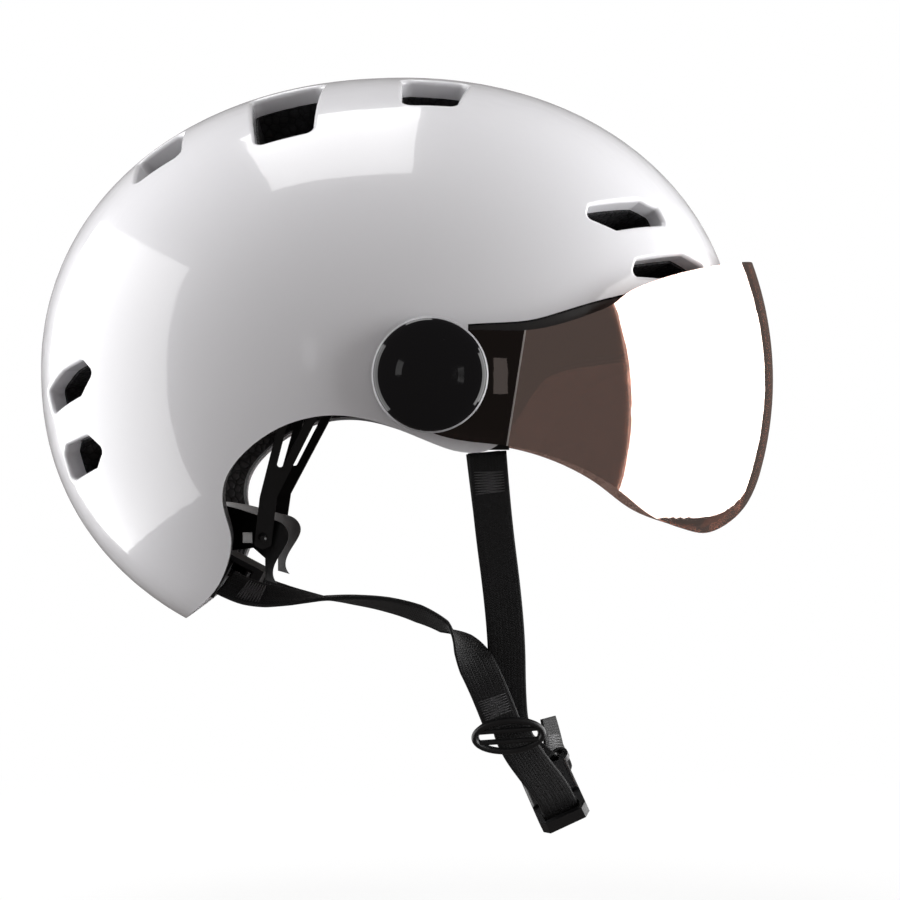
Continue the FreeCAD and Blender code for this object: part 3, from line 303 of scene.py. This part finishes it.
MATERIALS = {
    "shell_white": shell_paint(),
    "foam_black": foam(),
    "brow_black": moulded_plastic("brow_black", (0.010, 0.009, 0.009), (0.02, 0.018, 0.017), 0.42),
    "lens_mirror": lens_coating(),
    "cap_black": cap_gloss(),
    "trim_grey": moulded_plastic("trim_grey", (0.42, 0.42, 0.44), (0.5, 0.5, 0.52), 0.25, strength=0.1),
    "steel": turned_metal("steel", (0.42, 0.42, 0.44), (0.6, 0.6, 0.62), 0.28),
    "brass": turned_metal("brass", (0.6, 0.42, 0.16), (0.75, 0.56, 0.26), 0.3),
    "hardware_black": moulded_plastic("hardware_black", (0.004, 0.004, 0.0045), (0.009, 0.009, 0.010), 0.4),
    "dial_grey": moulded_plastic("dial_grey", (0.36, 0.37, 0.39), (0.44, 0.45, 0.47), 0.42),
    "pad_fabric": knit(),
    "webbing_black": webbing(),
    "thread_black": thread(),
}

for entry in frame["record"]["subparts"]:
    cad = NODES[entry["node"]]
    for slot in cad.material_slots:
        slot.material = MATERIALS[entry["material_slot"]]


# ---------------------------------------------------------------- chin straps

# Control points of each strap, then the webbing's lean in side view and its roll out of that view, in
# degrees.
STRAPS = {
    "front_strap_right": [
        (0.0405, -0.0844, -0.0295, 0, 0),
        (0.0416, -0.0805, -0.0430, 0, 0),
        (0.0436, -0.0720, -0.0620, 2, 0),
        (0.0466, -0.0610, -0.0840, 3, 0),
        (0.0486, -0.0505, -0.1050, 2, 0),
        (0.0490, -0.0410, -0.1250, 4, 0),
        (0.0502, -0.0335, -0.1400, 14, 0),
        (0.0540, -0.0280, -0.1490, 28, 0),
        (0.0605, -0.0185, -0.1585, 35, 0),
        (0.0672, -0.0070, -0.1675, 33, 0),
        (0.0709, 0.0038, -0.1746, 27, 0),
        (0.0726, 0.0060, -0.1790, 25, 0),
        (0.0743, 0.0088, -0.1820, 25, 0),
        (0.0737, 0.0136, -0.1810, 25, 0),
        (0.0714, 0.0215, -0.1759, 25, 0),
        (0.0700, 0.0290, -0.1704, 27, 0),
        (0.0700, 0.0365, -0.1650, 35, 0),
        (0.0704, 0.0415, -0.1575, 40, 30),
        (0.0694, 0.0430, -0.1495, 30, 58),
        (0.0676, 0.0435, -0.1420, 20, 66),
    ],
    "front_strap_left": [
        (0.0405, 0.0843, -0.0298, 0, 0),
        (0.0422, 0.0805, -0.0440, 0, 0),
        (0.0448, 0.0720, -0.0650, 2, 0),
        (0.0480, 0.0610, -0.0885, 3, 0),
        (0.0500, 0.0505, -0.1100, 2, 0),
        (0.0502, 0.0410, -0.1300, 4, 0),
        (0.0512, 0.0345, -0.1460, 14, 0),
        (0.0552, 0.0336, -0.1534, 24, 0),
        (0.0599, 0.0328, -0.1569, 27, 0),
        (0.0638, 0.0260, -0.1596, 25, 0),
    ],
    "rear_strap_right": [
        (-0.0636, -0.0440, -0.0813, 62, 45),
        (-0.0575, -0.0452, -0.0845, 68, 50),
        (-0.0490, -0.0475, -0.0866, 78, 58),
        (-0.0380, -0.0500, -0.0872, 86, 72),
        (-0.0265, -0.0520, -0.0876, 88, 90),
        (-0.0140, -0.0530, -0.0880, 86, 101),
        (0.0010, -0.0532, -0.0896, 78, 110),
        (0.0150, -0.0532, -0.0936, 68, 116),
        (0.0260, -0.0526, -0.0996, 56, 108),
        (0.0332, -0.0520, -0.1076, 44, 52),
        (0.0384, -0.0510, -0.1170, 32, 10),
        (0.0430, -0.0468, -0.1276, 20, 0),
        (0.0473, -0.0408, -0.1390, 14, 0),
    ],
    "rear_strap_left": [
        (-0.0630, 0.0441, -0.0816, 62, -45),
        (-0.0578, 0.0452, -0.0849, 68, -50),
        (-0.0500, 0.0475, -0.0886, 78, -58),
        (-0.0396, 0.0500, -0.0906, 86, -72),
        (-0.0284, 0.0520, -0.0914, 88, -90),
        (-0.0164, 0.0530, -0.0922, 86, -101),
        (-0.0006, 0.0532, -0.0942, 78, -110),
        (0.0142, 0.0532, -0.0986, 68, -116),
        (0.0260, 0.0526, -0.1050, 56, -108),
        (0.0338, 0.0518, -0.1134, 44, -58),
        (0.0394, 0.0508, -0.1230, 32, -12),
        (0.0441, 0.0471, -0.1336, 20, 0),
        (0.0482, 0.0414, -0.1445, 14, 0),
    ],
}
STRAP_WIDTH = 0.015
STRAP_THICKNESS = 0.0014
STRAP_EDGE = 0.0008
STRAP_EDGE_TIP = 0.0002
UV_MARGIN = 0.02

# Where each strap is tacked: metres from its start, or back from its end where negative.
TACKS = {
    "front_strap_right": (0.012, -0.012),
    "front_strap_left": (0.012, -0.009),
    "rear_strap_right": (0.012, -0.010),
    "rear_strap_left": (0.012, -0.010),
}


def smooth_path(name, points):
    """The points of a strap's own smooth line, read from a NURBS spline."""
    data = bpy.data.curves.new(name, "CURVE")
    data.dimensions = "3D"
    data.resolution_u = 12
    spline = data.splines.new("NURBS")
    spline.points.add(len(points) - 1)
    for control, point in zip(spline.points, points):
        control.co = (*point, 1)
    spline.order_u = 3
    spline.use_endpoint_u = True
    holder = bpy.data.objects.new(name, data)
    line = bpy.data.meshes.new_from_object(holder)
    path = [v.co.copy() for v in line.vertices]
    bpy.data.objects.remove(holder)
    bpy.data.curves.remove(data)
    bpy.data.meshes.remove(line)
    return path


def strap_frames(route, path):
    """For each point of the path: its place, direction, width direction and face direction."""
    frames = []
    for k, place in enumerate(path):
        ahead = path[min(k + 1, len(path) - 1)] - path[max(k - 1, 0)]
        heading = ahead.normalized()
        position = k / (len(path) - 1) * (len(route) - 1)
        i = min(int(position), len(route) - 2)
        share = position - i
        lean, roll = (math.radians(route[i][n] * (1 - share) + route[i + 1][n] * share) for n in (3, 4))
        upright = Vector((math.cos(lean), 0, math.sin(lean)))
        wide = upright * math.cos(roll) + Vector((0, math.sin(roll), 0))
        wide = (wide - heading * wide.dot(heading)).normalized()
        frames.append((place, heading, wide, heading.cross(wide)))
    return frames


def webbing_section():
    """A webbing's cross-section: flat faces, rolled edges. Each point is (across, out)."""
    half = STRAP_WIDTH / 2
    flat = half - STRAP_EDGE
    tip = half - STRAP_EDGE_TIP
    lift = STRAP_THICKNESS / 2
    face = [-flat + 2 * flat * i / 6 for i in range(7)]
    points = [(across, lift) for across in face]
    points += [(tip, lift * 0.75), (half, 0.0), (tip, -lift * 0.75)]
    points += [(-across, -lift) for across in face]
    points += [(-tip, -lift * 0.75), (-half, 0.0), (-tip, lift * 0.75)]
    return points


def new_object(name, mesh, material):
    """A smooth-shaded object on the helmet's own body."""
    piece = bpy.data.objects.new(name, mesh)
    scene.collection.objects.link(piece)
    mesh.materials.append(material)
    mesh.shade_smooth()
    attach(piece, "helmet")
    return piece


def ribbon(name, frames):
    """A closed strap along a path, with a UV map in metres: distance along, then across."""
    section = webbing_section()
    mesh = bmesh.new()
    uv = mesh.loops.layers.uv.new("length_and_width")
    travelled = 0.0
    rings = []
    for k, (place, _, wide, out) in enumerate(frames):
        if k:
            travelled += (place - frames[k - 1][0]).length
        ring = [mesh.verts.new(place + wide * x + out * y) for x, y in section]
        rings.append((ring, travelled))
    count = len(section)
    for (ring, start), (following, end) in zip(rings, rings[1:]):
        for i in range(count):
            j = (i + 1) % count
            face = mesh.faces.new((ring[i], ring[j], following[j], following[i]))
            for loop, (along, n) in zip(face.loops, ((start, i), (start, j), (end, j), (end, i))):
                loop[uv].uv = (along, section[n][0] + UV_MARGIN)
    for ring, _ in (rings[0], rings[-1]):
        mesh.faces.new(ring)
    bmesh.ops.recalc_face_normals(mesh, faces=mesh.faces)
    data = bpy.data.meshes.new(name)
    mesh.to_mesh(data)
    mesh.free()
    return new_object(name, data, MATERIALS["webbing_black"])


strap_frame_lists = {}
for strap, route in STRAPS.items():
    path = smooth_path(strap, [point[:3] for point in route])
    frames = strap_frames(route, path)
    strap_frame_lists[strap] = frames
    piece = ribbon(strap + "_webbing", frames)
    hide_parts(strap)


# ---------------------------------------------------------------- stitching


STITCH_SIDES = 6
# A stitch's size from its start to its end: share of its length, then share of its radius.
STITCH_TAPER = ((0.0, 0.3), (0.15, 1.0), (0.85, 1.0), (1.0, 0.3))


class Stitches:
    """Short thread stitches gathered into one mesh."""

    def __init__(self, radius):
        self.mesh = bmesh.new()
        self.radius = radius

    def add(self, start, end):
        run = (end - start).normalized()
        first = run.orthogonal().normalized()
        second = run.cross(first)
        turns = [2 * math.pi * k / STITCH_SIDES for k in range(STITCH_SIDES)]
        rings = []
        for share, size in STITCH_TAPER:
            middle = start.lerp(end, share)
            spokes = [first * math.cos(turn) + second * math.sin(turn) for turn in turns]
            rings.append([self.mesh.verts.new(middle + spoke * self.radius * size) for spoke in spokes])
        for ring, following in zip(rings, rings[1:]):
            for k in range(STITCH_SIDES):
                j = (k + 1) % STITCH_SIDES
                self.mesh.faces.new((ring[k], ring[j], following[j], following[k]))
        self.mesh.faces.new(list(reversed(rings[0])))
        self.mesh.faces.new(rings[-1])

    def finish(self, name):
        data = bpy.data.meshes.new(name)
        self.mesh.to_mesh(data)
        self.mesh.free()
        return new_object(name, data, MATERIALS["thread_black"])


def bar_tack(stitches, frames, centre, length=0.009, turns=16, width=0.0115):
    """A zigzag of thread across a strap, on both faces. centre is a distance along it from its start."""
    travelled = [0.0]
    for before, after in zip(frames, frames[1:]):
        travelled.append(travelled[-1] + (after[0] - before[0]).length)

    def spot(along, across, face):
        k = max(i for i, distance in enumerate(travelled[:-1]) if distance <= along)
        share = (along - travelled[k]) / (travelled[k + 1] - travelled[k])
        place = frames[k][0].lerp(frames[k + 1][0], share)
        wide = frames[k][2].lerp(frames[k + 1][2], share)
        out = frames[k][3].lerp(frames[k + 1][3], share)
        return place + wide * across + out * (face * STRAP_THICKNESS / 2)

    start = centre if centre > 0 else travelled[-1] + centre
    for face in (-1, 1):
        for k in range(turns):
            along = start - length / 2 + length * k / turns
            side = width / 2 if k % 2 else -width / 2
            stitches.add(spot(along, side, face), spot(along + length / turns, -side, face))


tacks = Stitches(0.00022)
for strap, frames in strap_frame_lists.items():
    for centre in TACKS[strap]:
        bar_tack(tacks, frames, centre)
tacks.finish("strap_tacks")


# ---------------------------------------------------------------- comfort pads


# Each pad's seams: an axis (0 for X, 1 for Y) and where along it the seam's plane stands.
PAD_SEAMS = {
    "brow_pad": ((1, -0.032), (1, 0.0), (1, 0.032)),
    "crown_pad": ((0, -0.026), (0, 0.004), (0, 0.034)),
    "rear_pad": ((1, -0.014), (1, 0.014)),
    "side_pad_right": ((0, -0.036), (0, -0.004)),
    "side_pad_left": ((0, -0.036), (0, -0.004)),
}
SEAM_REACH = 0.0035
SEAM_DEPTH = 0.0014
SEAM_STEP = 1.6
LONGEST_STITCH = 0.008
PAD_INSET = 0.0004
PAD_SWELL = 0.0012
PAD_VOXEL = 0.0035
CLOTH_FRAMES = 20


def bake(piece):
    """Applies a piece's modifiers to its mesh."""
    bpy.context.view_layer.update()
    result = bpy.data.meshes.new_from_object(piece.evaluated_get(bpy.context.evaluated_depsgraph_get()))
    piece.modifiers.clear()
    piece.data = result


def soft_pad(name, node, seams):
    """Swells a CAD pad as cloth under pressure, keeps each point near its start, and sinks the seams."""
    data = NODES[node].data.copy()
    data.materials.clear()
    piece = bpy.data.objects.new(name, data)
    scene.collection.objects.link(piece)
    mesh = bmesh.new()
    mesh.from_mesh(data)
    mesh.normal_update()
    for vertex in mesh.verts:
        vertex.co -= vertex.normal * PAD_INSET
    mesh.to_mesh(data)
    mesh.free()
    remesh = piece.modifiers.new("remesh", "REMESH")
    remesh.mode = "VOXEL"
    remesh.voxel_size = PAD_VOXEL
    bake(piece)
    start = [v.co.copy() for v in piece.data.vertices]
    cloth = piece.modifiers.new("cloth", "CLOTH")
    cloth.settings.use_pressure = True
    cloth.settings.uniform_pressure_force = 4.0
    cloth.settings.effector_weights.gravity = 0.0
    for number in range(1, CLOTH_FRAMES + 1):
        scene.frame_set(number)
    bake(piece)
    for vertex, origin in zip(piece.data.vertices, start):
        move = vertex.co - origin
        if move.length > PAD_SWELL:
            vertex.co = origin + move.normalized() * PAD_SWELL
    scene.frame_set(1)
    subdivide = piece.modifiers.new("subdivide", "SUBSURF")
    subdivide.levels = subdivide.render_levels = 1
    bake(piece)
    for vertex in piece.data.vertices:
        off_seam = min(abs(vertex.co[axis] - place) for axis, place in seams)
        if off_seam < SEAM_REACH:
            vertex.co -= vertex.normal * SEAM_DEPTH * (1 - off_seam / SEAM_REACH) ** 2
    piece.data.materials.append(MATERIALS["pad_fabric"])
    piece.data.shade_smooth()
    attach(piece, "helmet")
    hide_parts(node)
    return piece


def sew_seam(stitches, piece, axis, place):
    """Stitches along a seam on the side that faces the head."""
    corners = [vertex.co for vertex in piece.data.vertices]
    surface = BVHTree.FromPolygons(corners, [face.vertices for face in piece.data.polygons])
    origin = Vector((0.0, 0.0, 0.0))
    origin[axis] = place
    across, up = Vector((axis, 1 - axis, 0)), Vector((0, 0, 1))
    last = None
    for k in range(int(360 / SEAM_STEP)):
        turn = math.radians(k * SEAM_STEP)
        hit, _, _, _ = surface.ray_cast(origin, across * math.cos(turn) + up * math.sin(turn))
        if hit is not None and last is not None and k % 2 and (hit - last).length < LONGEST_STITCH:
            stitches.add(last, hit)
        last = hit


pad_stitches = Stitches(0.0003)
for pad, seams in PAD_SEAMS.items():
    cover = soft_pad(pad + "_cover", pad, seams)
    for axis, place in seams:
        sew_seam(pad_stitches, cover, axis, place)
pad_stitches.finish("pad_stitches")


# ---------------------------------------------------------------- stage and light

FLOOR_LEVEL = -0.215
FLOOR_RADIUS = 14.0
CAP_CENTRE = Vector((0.0185, -0.118, 0.0))
STRIP_DISTANCE = 1.2


def floor():
    """A pale floor that takes soft shadows near the object and turns to plain white further out."""
    s = Shader("floor_pale")
    far = s.add("ShaderNodeVectorMath", {0: s.place()}, operation="LENGTH").outputs["Value"]
    paint = s.add("ShaderNodeBsdfDiffuse", {"Color": (0.9, 0.9, 0.9, 1)})
    glow = s.add("ShaderNodeEmission", {"Color": (1, 1, 1, 1), "Strength": 1.0})
    share = s.ramp(far, 0.1, 0.6, 0.85, 1.0)
    mixed = s.add("ShaderNodeMixShader", {0: share, 1: paint.outputs[0], 2: glow.outputs[0]})
    material = s.end(mixed.outputs[0])
    mesh = bmesh.new()
    bmesh.ops.create_circle(mesh, cap_ends=True, segments=96, radius=FLOOR_RADIUS)
    data = bpy.data.meshes.new("floor")
    mesh.to_mesh(data)
    mesh.free()
    data.materials.append(material)
    plane = bpy.data.objects.new("floor", data)
    plane.location = (VIEW_CENTRE.x, 0, FLOOR_LEVEL)
    plane.visible_glossy = False
    plane.visible_diffuse = False
    scene.collection.objects.link(plane)


def softbox(name, centre, aim, width, height, radiance, roll=0.0):
    """A rectangular panel of even brightness that the camera sees only in reflections."""
    data = bpy.data.lights.new(name, "AREA")
    data.shape = "RECTANGLE"
    data.size = width
    data.size_y = height
    data.energy = radiance * math.pi * width * height
    light = bpy.data.objects.new(name, data)
    light.location = centre
    facing = (Vector(aim) - Vector(centre)).to_track_quat("-Z", "Y")
    light.rotation_euler = (facing @ Quaternion((0, 0, 1), math.radians(roll))).to_euler()
    light.visible_camera = False
    scene.collection.objects.link(light)


def room():
    """White where the camera looks past the object, and a dim warm room in reflections."""
    world = bpy.data.worlds.new("room")
    world.use_nodes = True
    tree = world.node_tree
    tree.nodes.clear()
    output = tree.nodes.new("ShaderNodeOutputWorld")
    backdrop = tree.nodes.new("ShaderNodeBackground")
    backdrop.inputs["Color"].default_value = (1, 1, 1, 1)
    around = tree.nodes.new("ShaderNodeBackground")
    around.inputs["Color"].default_value = (1.0, 0.92, 0.89, 1)
    around.inputs["Strength"].default_value = 0.145
    ray = tree.nodes.new("ShaderNodeLightPath")
    mix = tree.nodes.new("ShaderNodeMixShader")
    tree.links.new(ray.outputs["Is Camera Ray"], mix.inputs[0])
    tree.links.new(around.outputs[0], mix.inputs[1])
    tree.links.new(backdrop.outputs[0], mix.inputs[2])
    tree.links.new(mix.outputs[0], output.inputs["Surface"])
    scene.world = world


floor()
room()
softbox("softbox_top", (-0.24, 0.0, 1.15), (-0.24, 0.0, 0.0), 0.58, 0.91, 4.8)
softbox("softbox_rear", (-1.2, 0.22, -0.1), (0.0, 0.22, -0.1), 1.96, 1.84, 3.6)
softbox("softbox_front", (1.2, 0.26, 0.05), (0.0, 0.26, 0.05), 2.3, 1.3, 5.2, 10.0)
for name, turn, rise in (("strip_rear", -19.0, 5.0), ("strip_front", 16.0, 1.0)):
    turn, rise = math.radians(turn), math.radians(rise)
    direction = Vector((math.sin(turn), -math.cos(turn), math.sin(rise)))
    softbox(name, CAP_CENTRE + direction * STRIP_DISTANCE, CAP_CENTRE, 0.08, 0.17, 1.1)
